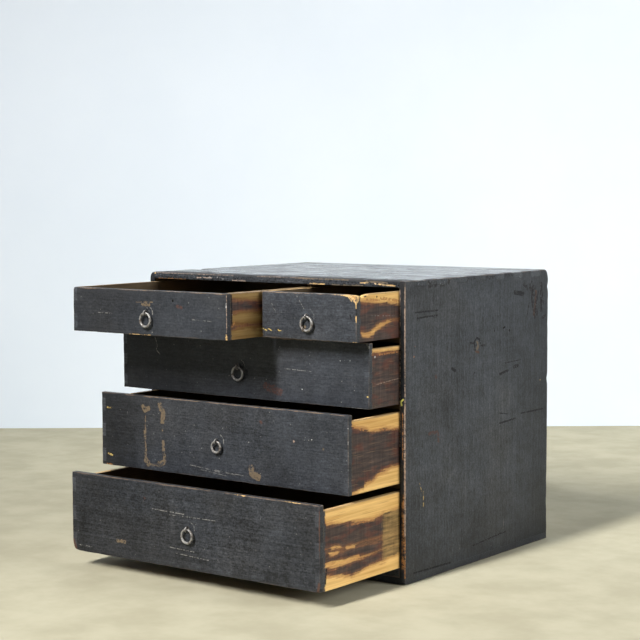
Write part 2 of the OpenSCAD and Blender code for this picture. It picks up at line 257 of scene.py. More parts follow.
class Paint(Nodes):
    """The finish of one piece, laid on in layers. place is a point's place in millimetres."""

    def __init__(self, name, shift=0.0):
        self.material = bpy.data.materials.new(name)
        self.material.use_nodes = True
        super().__init__(self.material.node_tree)
        here = self.node("ShaderNodeTexCoord", {}, {}, "Object")
        self.place = self.vector("SCALE", here, 1000.0)
        self.x, self.y, self.z = self.node("ShaderNodeSeparateXYZ", {}, {0: self.place},
                                           ("X", "Y", "Z"))
        self.moved = self.vector("ADD", self.place, (shift * 29.0, shift * 17.0, shift * 23.0))
        self.ragged = self.noise(4.0, 4.0, 0.7) - 0.5

    def noise(self, size, detail=2.0, rough=0.5, warp=0.0):
        """Cloudy variation around 0.5, of one size or of another along each axis."""
        where, scale = self.moved, 1.0
        if isinstance(size, tuple):
            where = self.vector("MULTIPLY", self.moved, tuple(1 / s for s in size))
        else:
            scale = 1 / size
        return self.node("ShaderNodeTexNoise", {},
                         {"Vector": where, "Scale": scale, "Detail": detail,
                          "Roughness": rough, "Distortion": warp})

    def vary(self, level, *noises):
        """A level that rises and falls with some noises, each given with how much."""
        total = level - sum(amount for _, amount in noises) / 2
        for noise, amount in noises:
            total = self.node("ShaderNodeMath", {"operation": "MULTIPLY_ADD"},
                              {0: noise, 1: amount, 2: total})
        return total

    def mix(self, share, first, second):
        """first where share is 0 and second where it is 1, as colours."""
        return self.node("ShaderNodeMix", {"data_type": "RGBA"},
                         {0: share, 6: first, 7: second}, 2)

    def shade(self, colour, amount):
        """colour times an amount that varies over the surface."""
        return self.vector("SCALE", colour, amount)

    def flecks(self, spacing, size, share):
        """Small spots, spacing apart, in only a share of the places they could be."""
        cell, pick = self.node("ShaderNodeTexVoronoi", {},
                               {"Vector": self.moved, "Scale": 1 / spacing}, ("Distance", "Color"))
        chance = self.node("ShaderNodeSeparateColor", {}, {0: pick}, 0)
        near = self.vary(cell, (self.ragged, size / spacing))
        return near.rise(size / spacing * 0.5, 0.0) * (chance < share)

    def hairlines(self, length, gap):
        """Long thin scratches, gap wide, that come and go."""
        along = self.noise(length, 1.0, 0.5)
        patch = self.noise(24.0, 3.0, 0.6).rise(0.5, 0.62)
        return abs(along - 0.5).rise(gap, 0.0) * patch

    def apart(self, points):
        """Distance to a line through some points, or to a single one."""
        nearest = None
        for start, end in zip(points, points[1:] or points):
            along = Vector(end) - Vector(start)
            foot = tuple(start)
            if along.length:
                way = tuple(along / along.length_squared)
                over = self.vector("DOT_PRODUCT", self.place, way, "Value")
                share = self.node("ShaderNodeMath", {"operation": "SUBTRACT", "use_clamp": True},
                                  {0: over, 1: Vector(start).dot(way)})
                foot = self.vector("ADD", self.vector("SCALE", tuple(along), share), foot)
            away = self.vector("DISTANCE", self.place, foot, "Value")
            nearest = away if nearest is None else nearest & away
        return nearest

    def arris(self, low, high):
        """Distance to the nearest edge of a box, for points on its sides."""
        beyond = self.vector("SUBTRACT", self.place, tuple(low))
        before = self.vector("SUBTRACT", tuple(high), self.place)
        depth = self.vector("MINIMUM", beyond, before)
        a, b, c = self.node("ShaderNodeSeparateXYZ", {}, {0: depth}, ("X", "Y", "Z"))
        return (a & b) | ((a | b) & c)

    def curve(self, value, points):
        """Another value for each value, along straight lines between a few points."""
        starts, ends = zip(*points)
        low, high = min(ends), max(ends)
        share = self.node("ShaderNodeMapRange", {}, {0: value, 1: starts[0], 2: starts[-1]})
        stops = [((s - starts[0]) / (starts[-1] - starts[0]), (e - low) / (high - low))
                 for s, e in points]
        ramp = self.node("ShaderNodeValToRGB", {"stops": stops}, {0: share})
        return self.node("ShaderNodeSeparateColor", {}, {0: ramp}, 0) * (high - low) + low

    def lay(self, colour, roughness, height, mask=None):
        """Lays a finish over all that is there, or only where mask is 1."""
        if mask is not None:
            colour = self.mix(mask, self.colour, colour)
            roughness = self.roughness + (roughness - self.roughness) * mask
            height = self.height + (height - self.height) * mask
        self.colour, self.roughness, self.height = colour, roughness, height

    def mark(self, mask, colour, sink=0.0, roughness=0.6):
        """Shows another colour where mask is 1, a little under the rest."""
        self.lay(colour, roughness, self.height - sink, mask)

    def done(self, metallic=0.0, glow=(0.0, 0.0, 0.0), gloss=0.2, one_sided=False):
        """Joins the layers to the surface. Their height is in millimetres."""
        normal = self.node("ShaderNodeBump", {}, {"Strength": 1.0, "Distance": 0.001,
                                                  "Height": self.height})
        look = self.node("ShaderNodeBsdfPrincipled", {},
                         {"Base Color": self.colour, "Roughness": self.roughness,
                          "Specular IOR Level": gloss, "Metallic": metallic,
                          "Normal": normal, "Emission Color": glow,
                          "Emission Strength": 1.0})
        if one_sided:
            behind = self.node("ShaderNodeNewGeometry", {}, {}, "Backfacing")
            clear = self.node("ShaderNodeBsdfTransparent", {}, {})
            look = self.node("ShaderNodeMixShader", {}, {0: behind, 1: look, 2: clear})
        self.node("ShaderNodeOutputMaterial", {}, {0: look})
        return self.material


def with_grain(grain, length, width):
    """The size of a noise along each axis, when it is drawn out along the grain."""
    return tuple(length if axis == grain else width for axis in "xyz")


def cedar(paint, grain, age=0.5, level=1.0):
    """Bare cedar: colour, roughness and height, with its grain along one axis."""
    rings = paint.noise(with_grain(grain, 260, 5), 3.0, 0.55, 0.5)
    lines = paint.noise(with_grain(grain, 260 / 3, 5 / 3), 2.0, 0.6)
    pores = paint.noise(with_grain(grain, 14, 1.25), 2.0, 0.7)
    cloud = paint.noise(58, 2.0, 0.5)
    tone = paint.vary(0.55, (rings, 2.0), (lines, 1.1), (cloud, 0.6))
    colour = paint.mix(tone, (0.56, 0.31, 0.090), (0.86, 0.57, 0.215))
    colour = paint.mix(lines.rise(0.58, 0.72) * 0.55, colour, (0.30, 0.125, 0.035))
    dull = paint.mix(cloud.rise(0.35, 0.7), (0.052, 0.040, 0.028), (0.125, 0.094, 0.062))
    colour = paint.mix(age, colour, paint.shade(dull, paint.vary(level, (lines, 0.6))))
    return colour, paint.vary(0.72, (pores, 0.2)), paint.vary(0.0, (rings, 0.05), (lines, 0.05),
                                                             (pores, 0.06))


def lacquer(paint, grain, arris, worn=1.0, rough=0.44, relief=1.0, contrast=1.0):
    """Old black lacquer, rubbed through along the edges: colour, roughness and height."""
    broad = paint.noise(75, 4.0, 0.6)
    blotch = paint.noise(13, 4.0, 0.65)
    streaks = paint.noise(with_grain(grain, 150, 2.4), 3.0, 0.6, 0.4)
    rubbed = paint.noise((14, 60, 14) if grain == "z" else (14, 14, 70), 3.0, 0.6)
    pores = paint.noise(with_grain(grain, 8, 1.7), 2.0, 0.7)
    grit = paint.noise(2.1, 2.0, 0.75)
    uneven = ((broad, 0.8), (blotch, 0.45), (streaks, 0.7), (rubbed, 0.4), (pores, 1.0),
              (grit, 1.2))
    tone = paint.vary(1.0, *[(noise, amount * contrast * 0.7) for noise, amount in uneven])
    cool = paint.mix(paint.noise(110, 2.0, 0.5).rise(0.38, 0.62),
                     (0.0390, 0.0410, 0.0455), (0.0370, 0.0408, 0.0480))
    colour = paint.shade(cool, tone * tone)
    scratches = paint.hairlines(with_grain(grain, 70, 2.6), 0.010)
    colour = paint.mix(scratches * 0.3, colour, (0.13, 0.125, 0.12))
    dust = paint.flecks(6.5, 0.9, 0.35) * blotch.rise(0.4, 0.6)
    colour = paint.mix(dust * 0.7, colour, (0.28, 0.27, 0.25))
    pits = paint.flecks(9.0, 1.1, 0.35)
    colour = paint.mix(pits * 0.75, colour, (0.010, 0.010, 0.011))
    edge = paint.vary(arris, (blotch, 3.0), (paint.noise(22, 2.0, 0.6), 4.0), (grit, 1.6))
    brown = edge.rise(2.2, 0.2) * worn
    bare = edge.rise(1.3, 0.3) * worn
    colour = paint.mix(brown * 0.4, colour, (0.090, 0.068, 0.055))
    tan = paint.mix(blotch.rise(0.46, 0.56), (0.26, 0.20, 0.165), (0.36, 0.255, 0.165))
    colour = paint.mix(bare * 0.75, colour, tan)
    roughness = paint.vary(rough, (blotch, 0.25), (grit, 0.2), (pores, 0.1)) + bare * 0.2
    height = paint.vary(0.0, (pores, 0.10 * relief), (streaks, 0.05 * relief),
                        (grit, 0.09 * relief))
    return colour, roughness, height - pits * 0.25


# Old damage to the lacquer and the wood under it: its colour, its depth, how fully it shows,
# how ragged its edge is, in millimetres, and how much of it is missing.
damage = {
    "scuff": ((0.135, 0.099, 0.061), 0.06, 0.85, 5.0, 0.40),
    "bare": ((0.60, 0.39, 0.165), 0.25, 0.95, 4.0, 0.40),
    "hole": ((0.003, 0.003, 0.003), 0.8, 1.0, 0.5, 0.0),
    "rust": ((0.078, 0.036, 0.027), 0.0, 0.7, 8.0, 0.40),
    "scratch": ((0.22, 0.21, 0.195), 0.05, 0.75, 1.4, 0.46),
    "yellow": ((0.50, 0.36, 0.11), 0.05, 0.9, 2.0, 0.42),
    "dark": ((0.007, 0.007, 0.008), 0.15, 0.95, 2.6, 0.38),
    "chalk": ((0.55, 0.55, 0.53), 0.0, 0.85, 3.0, 0.36),
    "brown": ((0.074, 0.038, 0.026), 0.08, 0.9, 4.0, 0.33),
    "orange": ((0.36, 0.165, 0.055), 0.1, 0.85, 3.5, 0.42),
    "grey": ((0.32, 0.235, 0.180), 0.1, 0.85, 3.5, 0.38),
    "gold": ((0.43, 0.205, 0.062), 0.0, 0.7, 9.0, 0.43),
    "lime": ((0.62, 0.60, 0.14), 0.0, 0.95, 0.8, 0.20),
    "blotch": ((0.009, 0.008, 0.008), 0.12, 0.85, 9.0, 0.44),
}


def age_marks(paint, marks):
    """Lays marks on a paint: each is its damage, its width and the points it runs through."""
    broken = paint.noise(3.2, 4.0, 0.7)
    for kind in dict.fromkeys(mark[0] for mark in marks):
        colour, sink, strength, ragged, missing = damage[kind]
        near = None
        for other, width, *points in marks:
            if other == kind:
                beside = paint.apart(points) - width / 2
                near = beside if near is None else near & beside
        shown = (near + paint.ragged * ragged).rise(0.5, -0.5)
        shown = shown * (broken.rise(missing, missing + 0.08) * strength)
        paint.mark(shown, paint.shade(colour, 0.55 + broken * 0.9), sink)


def placed(marks, where):
    """Marks drawn in two measures on a face, moved to where these are on the chest."""
    return [(kind, width, *[where(*point) for point in points])
            for kind, width, *points in marks]


def dented(points, dents):
    """Points sunk where wood broke out of a top edge: each dent's place, reach and depth."""
    for place, reach, depth in dents:
        sunk = depth * np.exp(-(((points - place) / reach) ** 2).sum(1))
        points = points - np.outer(sunk, (0, 0, 1))
    return points


case_low = np.array([part_box("left_side")[0][0], part_box("bottom_board")[0][1], 0.0])
case_high = np.array([part_box("right_side")[1][0], part_box("bottom_board")[1][1],
                      part_box("top_board")[1][2]])
top_nick = np.array([case_low[0], -76.0, case_high[2]])
# Where the case's edges are knocked rounder: the place, how far that reaches and how deep.
case_knocks = [
    (top_nick, 5.0, 3.0), ((*case_low[:2], case_high[2]), 5.0, 2.5), (case_high, 8.0, 3.5),
    ((*case_high[:2], 50.0), 16.0, 1.5), ((*case_high[:2], 80.0), 7.0, 1.2),
    ((*case_high[:2], 215.0), 4.0, 3.2), ((*case_high[:2], 337.0), 4.0, 2.4),
    ((case_high[0], case_low[1], 0.0), 6.0, 1.5), ((case_high[0], -48.0, 0.0), 9.0, 1.2),
]


def worn_case(points):
    """The whole case's outside: edges worn uneven, sides very slightly hollow."""
    radius = 1.05 + 0.3 * ripple(points, 60, 1) + 0.25 * ripple(points, 17, 2)
    radius = np.clip(radius + knocked(points, case_knocks), 0.5, 7.0)
    sunk = np.clip(0.12 + 0.06 * ripple(points, 120, 3), 0.04, 0.3)
    worn = wear(points, case_low, case_high, all_sides, radius, sunk)
    return dented(worn, [(top_nick, (16, 6, 7), 3.2)])


bottom_paint = Paint("lacquered bottom board", 1)
bottom_paint.lay(*lacquer(bottom_paint, "x", bottom_paint.arris(case_low, case_high), 0.3))
# Painted shade: the whole board is darkened, for the shade it stands in under the bottom drawer.
bottom_paint.colour = bottom_paint.shade(bottom_paint.colour, 0.6)
board("bottom_board", "case", bottom_paint.done(), worn_case, step=8.0)


# Two rails and two runners on the bottom board, which lift the bottom drawer. Only the front
# rail is lacquered; the others are plain cedar gone dull inside the case.
def plain(points):
    """A board inside the case keeps its own shape."""
    return points


rail_paint = Paint("lacquered front rail", 2)
rail_paint.lay(*lacquer(rail_paint, "x", rail_paint.arris(*part_box("front_rail")), 0.4))
board("front_rail", "case", rail_paint.done(), worn_case, step=8.0)
inside_paint, shelf_paint = Paint("dull cedar runners", 3), Paint("dull cedar shelves", 4)
inside_paint.lay(*cedar(inside_paint, "y", 0.9))
shelf_paint.lay(*cedar(shelf_paint, "x", 0.9))
inside_cedar, shelf_cedar = inside_paint.done(), shelf_paint.done()
board("back_rail", "case", shelf_cedar, plain, step=12.0)
for node in ("left_runner", "right_runner"):
    board(node, "case", inside_cedar, plain, step=12.0)


# The two side boards: one upright board each, fingered to the top board, with housings for the
# shelves and a step at the back for the back boards. Black lacquer outside and on the edges,
# with a knot and old scratches on the right one.
finger_count = 15
finger_w = (case_high[1] - case_low[1]) / finger_count
shelves = [part_box(node) for node in ("lower_shelf", "middle_shelf", "upper_shelf")]
back_boards = [part_box(f"back_board_{which}") for which in ("lower", "middle", "upper")]
ceiling = back_boards[2][1][2]
back_step = (back_boards[0][0], back_boards[2][1])
# Marks on the right side: the damage, its width and its points, by depth into the case and
# height.
right_marks = [
    ("scuff", 3.4, (-9, 277), (-8, 275)), ("scuff", 4.0, (-9, 269), (-7, 271)),
    ("dark", 2.8, (-14, 267), (-16, 277), (-11, 282), (-4, 280), (-2, 274)),
    ("dark", 3.0, (-12, 273)), ("brown", 3.0, (-12, 265), (-5, 264)),
    ("dark", 2.7, (-26, 277), (-18, 276)), ("dark", 2.4, (-2, 272), (8, 271)),
    ("rust", 4.0, (-118, 175), (-98, 175), (-96, 163)), ("rust", 5.0, (-102, 242)),
    ("dark", 1.9, (-147, 322), (-98, 322)), ("dark", 2.2, (-143, 315), (-100, 316)),
    ("dark", 3.4, (45, 232), (66, 235)), ("dark", 4.4, (80, 238), (90, 239)),
    ("dark", 2.4, (44, 169), (84, 171)), ("dark", 2.0, (99, 176), (156, 176)),
    ("dark", 1.7, (44, 182), (64, 179)), ("dark", 1.3, (58, 245), (98, 246)),
    ("hole", 2.6, (53, 290), (57, 291)), ("hole", 3.6, (68, 286)), ("hole", 2.4, (31, 288)),
    ("dark", 4.2, (-67, 249), (-60, 246)), ("dark", 3.8, (-16, 238)),
    ("blotch", 8.0, (-118, 354), (-104, 353)), ("blotch", 6.0, (-92, 352), (-74, 355)),
    ("blotch", 3.5, (-60, 356), (18, 356), (92, 357)), ("brown", 4.0, (136, 332), (131, 302)),
    ("blotch", 13.0, (124, 340), (131, 322), (134, 304)), ("blotch", 8.0, (148, 340), (152, 318)),
    ("blotch", 6.0, (104, 345), (112, 338)), ("blotch", 5.0, (160, 300), (150, 296)),
    ("dark", 2.6, (127, 339), (124, 322), (130, 306)), ("dark", 2.2, (141, 332), (136, 312)),
    ("dark", 2.4, (149, 344), (152, 326)), ("dark", 2.0, (118, 318), (112, 300)),
    ("dark", 2.2, (-150, 12), (-70, 10)), ("dark", 1.8, (-20, 22), (60, 27)),
    ("dark", 6.2, (82, 334), (102, 331)), ("dark", 5.0, (148, 322), (150, 305)),
    ("yellow", 1.2, (-129, 109), (-129, 89)), ("yellow", 0.8, (-137, 118), (-133, 108)),
    ("scratch", 1.0, (57, 43), (55, 30)), ("scratch", 2.0, (26, 15)), ("chalk", 1.8, (50, 8)),
    ("scratch", 1.3, (-48, 28), (-48, 23)), ("yellow", 1.8, (148, 215)),
    ("orange", 1.8, (-149, 270)), ("orange", 1.3, (-147, 282)), ("scratch", 0.9, (-130, 202)),
    ("dark", 2.0, (168, 300), (163, 290)),
]
# Marks on its front edge, by the distance from the outer arris and the height.
right_edge_marks = [
    ("orange", 2.6, (0, 6), (0, 175)), ("grey", 3.4, (0, 60), (0, 215)),
    ("grey", 2.4, (0, 215), (0, 352)),
    ("orange", 1.6, (2.6, 20), (2.6, 108)), ("orange", 1.0, (4.2, 20), (4.2, 100)),
    ("orange", 1.2, (3.5, 150), (3.5, 205)), ("grey", 1.0, (7.5, 165), (7.5, 350)),
    ("lime", 2.2, (3.0, 221), (6.3, 218), (5.1, 214.5)),
]


def top_fingers(inner, outer, start):
    """The finger joint at one upper corner of the case: every second place from start."""
    return [((min(inner, outer), case_low[1] + k * finger_w, ceiling),
             (max(inner, outer), case_low[1] + (k + 1) * finger_w, case_high[2]))
            for k in range(start, finger_count, 2)]


for node in ("left_side", "right_side"):
    low, high = part_box(node)
    side_paint = Paint(f"lacquered {node.replace('_', ' ')}", 5 if node == "left_side" else 6)
    side_arris = side_paint.arris(case_low, case_high)
    if node == "left_side":
        inner, outer, inward = high[0], low[0], side_paint.x > high[0] - 0.3
        side_paint.lay(*lacquer(side_paint, "z", side_arris, 0.8, contrast=1.6))
    else:
        inner, outer, inward = low[0], high[0], side_paint.x < low[0] + 0.3
        side_paint.lay(*lacquer(side_paint, "z", side_arris, 0.45, contrast=1.45))
        # Painted shade: the right side is darkened towards the back, where less light reaches it.
        side_paint.colour = side_paint.shade(side_paint.colour,
                                             side_paint.y.rise(168, 20) * 0.40 + 0.65)
        age_marks(side_paint, placed(right_marks, lambda y, z: (outer, y, z)))
    # The front edge is painted darker, and the foot of the board darker still, as painted shade
    # near the floor.
    edge_dark = side_paint.y.rise(case_low[1] + 0.3, case_low[1] + 1.6) * 0.6 + 0.4
    side_paint.colour = side_paint.shade(side_paint.colour,
                                         edge_dark & side_paint.z.rise(-110, 130))
    if node == "right_side":
        age_marks(side_paint, placed(right_edge_marks, lambda x, z: (outer - x, case_low[1], z)))
    # The inner face is bare, but for a strip behind the front edge.
    side_paint.lay(*cedar(side_paint, "z", 0.8), inward * (side_paint.y > case_low[1] + 3))
    body_box = (low, (high[0], high[1], ceiling))
    board(node, "case", side_paint.done(), worn_case,
          solids=[body_box, *top_fingers(inner, outer, 0)], cuts=[*shelves, back_step], step=5.0)


# Three shelves that the drawers run on and the upright between the two small drawers, housed
# in their neighbours. Bare cedar, grey-brown with age.
upright_box = part_box("upright")
for node in ("lower_shelf", "middle_shelf", "upper_shelf"):
    board(node, "case", shelf_cedar, plain, cuts=[upright_box], step=14.0)
board("upright", "case", inside_cedar, plain, step=12.0)


# The top board: one wide board with its grain along the front, fingered into both sides. Its
# lacquer is rubbed smooth, and chipped to the wood along the lower front edge.
top_low, top_high = part_box("top_board")
side_in = part_box("right_side")[0][0]
top_paint = Paint("lacquered top board", 7)
top_paint.lay(*lacquer(top_paint, "x", top_paint.arris(case_low, case_high), 0.5, 0.22, 0.5, 2.4))
top_paint.colour = top_paint.shade(top_paint.colour, 0.7)
upward = top_paint.z.rise(case_high[2] - 2.0, case_high[2] - 1.0)
wiped = top_paint.noise((60, 14, 14), 5.0, 0.75, 0.6)
grimy = top_paint.noise((24, 20, 24), 4.0, 0.75)
by_front = top_paint.y.rise(case_low[1] + 60, case_low[1])
cloudy = top_paint.vary(top_paint.roughness, (wiped, 0.6), (grimy, 0.5))
top_paint.roughness = cloudy * upward + top_paint.roughness * (1 - upward)
dirt = top_paint.vary(by_front * 0.7, (wiped, 1.6), (grimy, 1.4)).rise(0.15, 0.6)
top_paint.mark(upward * dirt, (0.016, 0.016, 0.017), 0.0, 0.75)
top_paint.colour = top_paint.shade(top_paint.colour, upward * 0.3 + 0.7)
# Marks on its front edge, by the place along it and the height.
top_edge_marks = [
    ("bare", 1.7, (62, 353), (84, 352.5)), ("orange", 0.9, (-186, 352.3), (-140, 352.3)),
    ("grey", 1.2, (-61, 353), (-40, 353)), ("bare", 1.0, (137, 356), (150, 357)),
    ("bare", 1.3, (158, 356), (168, 355), (187, 354)), ("scuff", 2.2, (146, 358), (176, 357)),
    ("scuff", 1.4, (96, 352.6), (140, 352.6)), ("bare", 3.0, (197, 356), (198, 352)),
    ("bare", 2.4, (-201, 357), (-193, 359)), ("orange", 1.8, (-201, 352), (-196, 354)),
    ("grey", 1.2, (-190, 359.6), (-60, 359.6)), ("grey", 1.0, (-20, 359.6), (80, 359.6)),
    ("scuff", 1.6, (40, 359), (120, 359)), ("grey", 1.2, (-120, 355), (-96, 355)),
    ("scratch", 1.8, (-101, 356), (-96, 355)), ("scratch", 1.5, (-86, 356), (-76, 354)),
]
nick_mark = ("dark", 5.0, tuple(top_nick - (0, 14, 0)), tuple(top_nick + (0, 26, 0)))
age_marks(top_paint, [*placed(top_edge_marks, lambda x, z: (x, case_low[1], z)), nick_mark])
board("top_board", "case", top_paint.done(gloss=0.5), worn_case,
      solids=[((-side_in, *top_low[1:]), (side_in, *top_high[1:])),
              *top_fingers(side_in, case_high[0], 1), *top_fingers(-side_in, case_low[0], 1)],
      cuts=[upright_box], step=5.0)


# Three back boards with their grain across, each lapped half its thickness over the one
# below, and the wooden pegs that hold them and the bottom board. Never lacquered.
back_middle_y = (back_boards[0][0][1] + back_boards[0][1][1]) / 2
lap = back_boards[0][1][2] - back_boards[1][0][2]
for k, which in enumerate(("lower", "middle", "upper")):
    low, high = back_boards[k]
    inner_top = high[2] if which == "upper" else high[2] - lap
    outer_low = low[2] if which == "lower" else low[2] + lap
    back_paint = Paint(f"cedar back board {k + 1}", 8 + k)
    back_paint.lay(*cedar(back_paint, "x", 0.75))

    def eased_back(points):
        """The case's worn outside, with the board's own outer edges eased as well."""
        return wear(worn_case(points), (low[0], low[1], outer_low), high, ("+y", "-z", "+z"), 0.9)

    board(f"back_board_{which}", "case", back_paint.done(), eased_back,
          solids=[(low, (high[0], back_middle_y, inner_top)),
                  ((low[0], back_middle_y, outer_low), high)], step=9.0)
peg_paint = Paint("wooden pegs")
peg_paint.lay(*cedar(peg_paint, "z", 0.3))
peg_wood = peg_paint.done()


def dress_pegs(node):
    """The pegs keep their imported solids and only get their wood."""
    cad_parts[node].data.materials.clear()
    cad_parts[node].data.materials.append(peg_wood)


dress_pegs("bottom_pegs")
dress_pegs("back_pegs")


# The five drawers: a lacquered cedar front fingered to bare cedar sides, a lower back, and a
# bottom pegged on from below. Lacquer ran a little way over each side behind the front. The
# middle of each side is stained dark, and its wood shows bright above and below.
side_t, tongue_in, scratch_r, corner_reach = 6.5, 3.0, 8.6, 9.0
# Marks on each front, by the place along it and the height.
front_marks = {
    1: [("scuff", 1.0, (-87, 333), (-61, 334)), ("scuff", 3.6, (-77, 331), (-66, 330.5)),
        ("hole", 3.4, (-28, 336.6)),
        ("rust", 3.5, (-21, 331), (-15, 329)), ("bare", 3.0, (54, 294), (54.5, 300)),
        ("grey", 0.8, (54.5, 303), (55, 345)), ("chalk", 0.9, (54, 332), (54, 337)),
        ("bare", 1.2, (-98, 294), (-65, 294)), ("scratch", 0.8, (-70, 328), (-64, 321)),
        ("scratch", 0.7, (-150, 318), (-128, 318)), ("scratch", 0.6, (0, 316), (34, 315))],
    2: [("yellow", 1.3, (57, 304), (62, 302), (66, 304), (70, 302)),
        ("yellow", 1.1, (80, 303), (87, 302)), ("yellow", 1.2, (57, 297)),
        ("scuff", 5.0, (117, 306), (119, 309)), ("scratch", 0.8, (108, 344), (118, 330)),
        ("bare", 3.0, (160, 349), (174, 349)), ("bare", 6.0, (172, 351), (182, 348), (188, 343)),
        ("bare", 12.0, (186, 350), (195, 344)), ("bare", 2.0, (192.5, 339), (192.5, 333)),
        ("dark", 2.6, (193, 332), (193, 325)), ("orange", 1.6, (188, 347), (193, 342)),
        ("bare", 2.0, (192.5, 324), (192.5, 317)), ("bare", 1.4, (160, 348), (180, 348)),
        ("bare", 1.6, (188, 294), (193, 294)), ("dark", 2.0, (184, 325), (186, 320)),
        ("scratch", 0.7, (70, 335), (76, 325))],
    3: [("scratch", 1.0, (-138, 282), (-134, 272), (-136, 266), (-130, 261)),
        ("scratch", 3.0, (190, 291), (193, 286)), ("yellow", 2.0, (191, 230)),
        ("scratch", 1.2, (150, 215.5), (190, 215.5)), ("rust", 9.0, (42, 232), (62, 227)),
        ("scratch", 0.6, (70, 255), (110, 254)), ("chalk", 1.2, (96, 232)),
        ("chalk", 0.7, (152, 269)), ("chalk", 0.6, (158, 270)), ("chalk", 0.9, (166, 270))],
    4: [("scuff", 6.0, (-122, 199), (-118, 195), (-113, 198)),
        ("scuff", 1.8, (-118, 188), (-119, 172)), ("scuff", 3.4, (-119, 172), (-119, 160)),
        ("scuff", 1.8, (-119, 160), (-118, 146)), ("scuff", 3.0, (-118, 146), (-119, 134)),
        ("scuff", 7.0, (-94, 203), (-88, 194), (-90, 184)), ("scuff", 2.4, (-90, 172)),
        ("scuff", 4.0, (-89, 158), (-87, 134)),
        ("scuff", 7.0, (-118, 133), (-114, 129)), ("scuff", 3.0, (-113, 128), (-97, 128)),
        ("scuff", 7.0, (-96, 130), (-89, 133)), ("scuff", 8.0, (51, 140), (52, 132)),
        ("scuff", 9.0, (53, 132), (61, 130)), ("grey", 1.8, (115, 177)),
        ("chalk", 1.4, (141, 181)), ("scuff", 3.0, (157, 172)),
        ("scratch", 0.7, (-45, 134), (-10, 131), (26, 129)),
        ("scratch", 0.6, (-20, 129), (14, 126)), ("scratch", 0.6, (-5, 131.5), (40, 129)),
        ("scratch", 0.5, (-28, 130), (6, 127)), ("scratch", 0.8, (-6, 130), (8, 129)),
        ("chalk", 0.8, (192.6, 198)), ("chalk", 0.7, (192.5, 183), (192.5, 180)),
        ("scratch", 0.8, (192.6, 171), (192.6, 162)), ("chalk", 0.6, (192.5, 151), (192.5, 149)),
        ("scratch", 0.8, (192.6, 142), (192.6, 132)),
        ("yellow", 1.8, (-183, 194), (-176, 194)), ("yellow", 2.4, (-182, 135), (-176, 134)),
        ("scratch", 1.0, (-22, 181)), ("rust", 4.0, (66, 195)),
        ("orange", 1.4, (-185, 122), (-176, 122))],
    5: [("scratch", 1.0, (-181, 28), (-160, 28)), ("brown", 5.0, (-192, 32), (-188, 22)),
        ("scuff", 4.0, (-117, 41), (-104, 41)), ("scratch", 1.2, (-59, 87), (-8, 86)),
        ("scratch", 0.8, (-30, 83), (41, 84)), ("bare", 1.8, (71, 118.5), (86, 118.5)),
        ("bare", 1.0, (144, 118.5), (166, 118.5)), ("rust", 3.0, (-70, 98)),
        ("scratch", 0.8, (-20, 38), (30, 36)), ("scratch", 0.8, (-30, 44), (8, 43)),
        ("brown", 1.6, (192.5, 112), (192.5, 60)), ("brown", 3.6, (192, 30), (190, 22))],
}
# Where each drawer's edges are knocked rounder, and where wood broke out of one.
front_knocks = {
    1: [((55, -316, 298), 4.0, 1.2), ((-193, -316, 348), 4.0, 1.2)],
    2: [((193, -253, 347), 7.0, 2.6), ((170, -253, 348), 4.0, 1.0), ((193, -253, 318), 3.0, 1.2)],
    3: [((193, -228.5, 291), 4.0, 1.6)],
    4: [((193, -269, 213), 4.0, 1.0), ((-184, -269, 121), 5.0, 1.0)],
    5: [((-193, -323, 20), 6.5, 4.5), ((193, -323, 118.7), 5.0, 1.6), ((193, -323, 20), 5.0, 1.6),
        ((78, -323, 118.7), 6.0, 0.8)],
}
front_dents = {2: [((191, -240.5, 348), (7, 5, 6), 4.2), ((191, -232, 348), (6, 3, 5), 1.5)]}

# Where bright wood shows on a drawer's side: the lower and the upper edge of each band, as
# height over the distance behind the front's face.
bright_bands = {
    1: [([(10, 341), (62, 337)], None),
        ([(18, 311), (62, 310)], [(18, 325), (27, 326), (62, 325)]),
        (None, [(15, 305), (24, 308), (62, 307)])],
    2: [([(1, 346), (7, 339), (26, 338), (51, 336), (83, 333)], None),
        ([(8, 304), (13, 300.3), (24, 299.4), (34, 300.8), (37, 304), (48, 307.8), (60, 311),
          (72, 316)],
         [(8, 303), (9, 304.6), (22, 304.2), (30, 306.5), (38, 310.5), (48, 312.7), (60, 315),
          (72, 315)])],
    3: [([(6, 280), (60, 279)], None)],
    4: [([(5, 201), (32, 194), (41, 190), (59, 189), (71, 190), (102, 187)], None),
        (None, [(2, 124), (30, 126), (31, 130), (46, 134), (57, 139), (88, 144), (103, 143)])],
    5: [([(8, 102), (13, 95), (26, 94), (51, 92), (84, 88), (104, 87), (124, 91)], None),
        ([(15, 46), (26, 45), (49, 45), (72, 46), (90, 47), (122, 49)],
         [(15, 52), (51, 50), (75, 50), (76, 47), (122, 48.5)]),
        ([(15, 63), (18, 60), (32, 59.5), (38, 61)], [(15, 62), (18, 63), (32, 62.5), (38, 60)]),
        ([(18, 68.5), (22, 66), (34, 65.5), (44, 65)], [(18, 68), (24, 69), (36, 67.6), (44, 64)]),
        ([(47, 64), (50, 62), (60, 62), (72, 64)], [(47, 63), (50, 64.5), (60, 64.8), (72, 63)]),
        (None, [(13, 38), (20, 37), (60, 30), (80, 32), (96, 35), (122, 36), (159, 40)])],
}
# How bright that wood is: its own tone, and on drawer 1 also painted shade from drawer 2's
# front; and where on drawer 5 the stain has faded to gold behind its front.
band_tone_and_shade = {1: 0.37, 2: 0.95, 3: 1.0, 4: 1.0, 5: 1.05}
faded = {5: (118, 126)}
